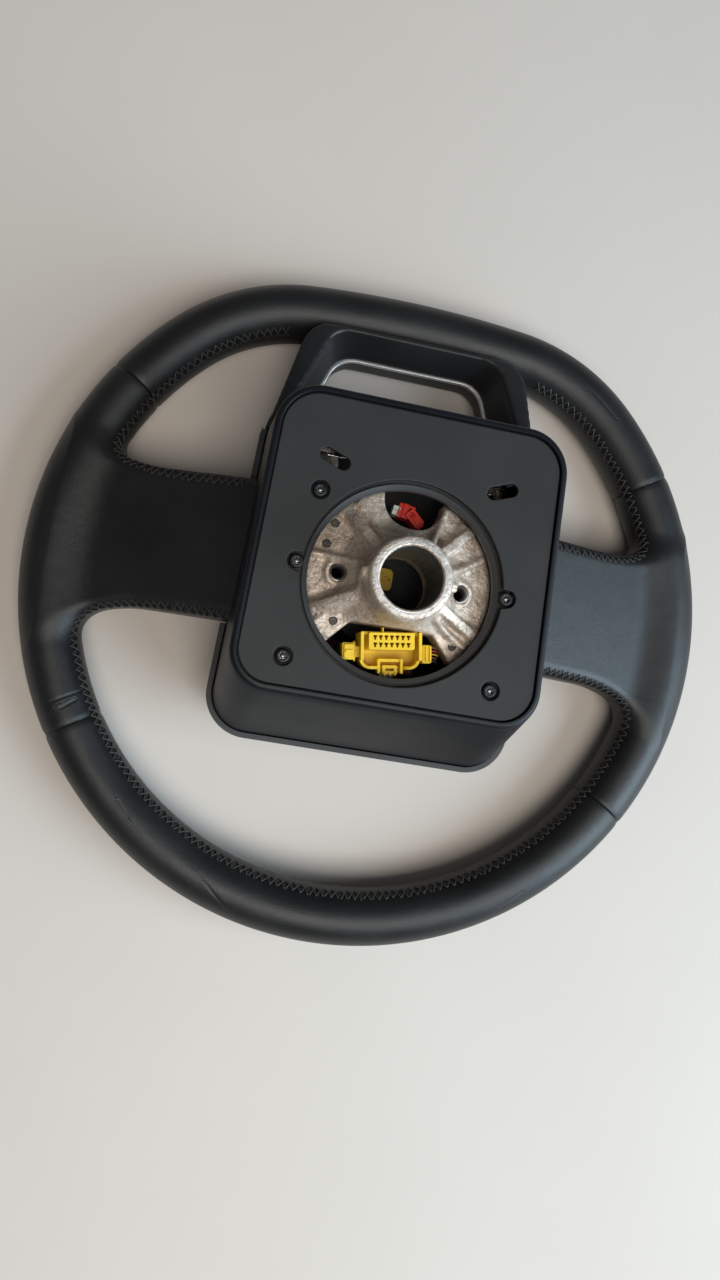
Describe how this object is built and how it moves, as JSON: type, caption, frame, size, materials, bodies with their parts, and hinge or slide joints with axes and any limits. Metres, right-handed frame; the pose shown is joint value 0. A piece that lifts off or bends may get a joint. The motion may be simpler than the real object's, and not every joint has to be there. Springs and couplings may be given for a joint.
{
  "type": "steering wheel",
  "caption": "Leather-wrapped car steering wheel with a flattened rim, padded side spokes, a loop spoke, a splined hub, a sliding airbag pad and switch pods.",
  "frame": {"origin": "centre of the hub bore at the boss's rear mouth", "axes": "+Z along the steering axis towards the column, +Y to 12 o'clock on the rim, +X to the driver's left; the wheel lies face down on its rim"},
  "size_m": [0.376, 0.3586, 0.134],
  "materials": {
    "leather": "smooth black grained leather",
    "foam": "moulded foam",
    "core": "drawn steel rod",
    "cast": "as-cast light alloy with a machined boss face",
    "housing": "fine-textured black moulding",
    "plate": "matte charcoal moulding",
    "collar": "grey moulding",
    "screw": "zinc plated",
    "loop": "fine-textured black moulding",
    "trim": "satin bright trim",
    "cover": "soft-touch black moulding",
    "tray": "black coated steel",
    "bag": "folded woven nylon",
    "inflator": "plated steel",
    "spring": "bright spring wire",
    "yellow": "yellow moulding",
    "red": "red moulding",
    "pale": "pale moulding",
    "wire": "taped wires",
    "pod": "fine-textured black moulding",
    "board": "green circuit board",
    "button": "smooth black moulding"
  },
  "bodies": {
    "wheel": {"leather_left": "leather", "leather_right": "leather", "leather_top": "leather", "leather_bottom": "leather", "rim_foam": "foam", "rim_core": "core", "hub_casting": "cast", "rear_housing": "housing", "rear_plate": "plate", "hub_collar": "collar", "plate_screws": "screw", "collar_screws": "screw", "corner_screw": "screw", "loop_frame": "loop", "loop_trim": "trim", "horn_springs": "spring", "lock_spring": "spring", "connector_body": "yellow", "connector_lock": "yellow", "red_plug": "red", "pale_clip": "pale", "left_harness": "wire", "right_harness": "wire", "left_switch_pod": "pod", "right_switch_pod": "pod", "left_switch_board": "board", "right_switch_board": "board"},
    "airbag_module": {"airbag_cover": "cover", "airbag_tray": "tray", "airbag_cushion": "bag", "airbag_inflator": "inflator", "inflator_nuts": "inflator", "inflator_plug": "yellow", "module_pins": "tray"},
    "left_button_high": {"left_button_high": "button"},
    "left_button_low": {"left_button_low": "button"},
    "left_button_inner": {"left_button_inner": "button"},
    "left_button_outer": {"left_button_outer": "button"},
    "left_roller": {"left_roller": "button"},
    "right_button_high": {"right_button_high": "button"},
    "right_button_low": {"right_button_low": "button"},
    "right_button_inner": {"right_button_inner": "button"},
    "right_button_outer": {"right_button_outer": "button"},
    "right_roller": {"right_roller": "button"}
  },
  "joints": [
    {"name": "horn_press", "type": "slide", "parent": "wheel", "child": "airbag_module", "axis": [0, 0, 1], "range_m": [0, 0.0025], "stiffness_N_per_m": 8000, "deforming": ["horn_springs"]},
    {"name": "left_press_high", "type": "slide", "parent": "wheel", "child": "left_button_high", "axis": [0.2864, 0, 0.9581], "range_m": [0, 0.0008], "stiffness_N_per_m": 500},
    {"name": "left_press_low", "type": "slide", "parent": "wheel", "child": "left_button_low", "axis": [0.2864, 0, 0.9581], "range_m": [0, 0.0008], "stiffness_N_per_m": 500},
    {"name": "left_press_inner", "type": "slide", "parent": "wheel", "child": "left_button_inner", "axis": [0.2864, 0, 0.9581], "range_m": [0, 0.0008], "stiffness_N_per_m": 500},
    {"name": "left_press_outer", "type": "slide", "parent": "wheel", "child": "left_button_outer", "axis": [0.2864, 0, 0.9581], "range_m": [0, 0.0008], "stiffness_N_per_m": 500},
    {"name": "left_roll", "type": "hinge", "parent": "wheel", "child": "left_roller", "pos_m": [0.11243, -0.0105, -0.11182], "axis": [0.9581, 0, -0.2864], "continuous": true},
    {"name": "right_press_high", "type": "slide", "parent": "wheel", "child": "right_button_high", "axis": [-0.2864, 0, 0.9581], "range_m": [0, 0.0008], "stiffness_N_per_m": 500},
    {"name": "right_press_low", "type": "slide", "parent": "wheel", "child": "right_button_low", "axis": [-0.2864, 0, 0.9581], "range_m": [0, 0.0008], "stiffness_N_per_m": 500},
    {"name": "right_press_inner", "type": "slide", "parent": "wheel", "child": "right_button_inner", "axis": [-0.2864, 0, 0.9581], "range_m": [0, 0.0008], "stiffness_N_per_m": 500},
    {"name": "right_press_outer", "type": "slide", "parent": "wheel", "child": "right_button_outer", "axis": [-0.2864, 0, 0.9581], "range_m": [0, 0.0008], "stiffness_N_per_m": 500},
    {"name": "right_roll", "type": "hinge", "parent": "wheel", "child": "right_roller", "pos_m": [-0.11243, -0.0105, -0.11182], "axis": [-0.9581, 0, -0.2864], "continuous": true}
  ]
}
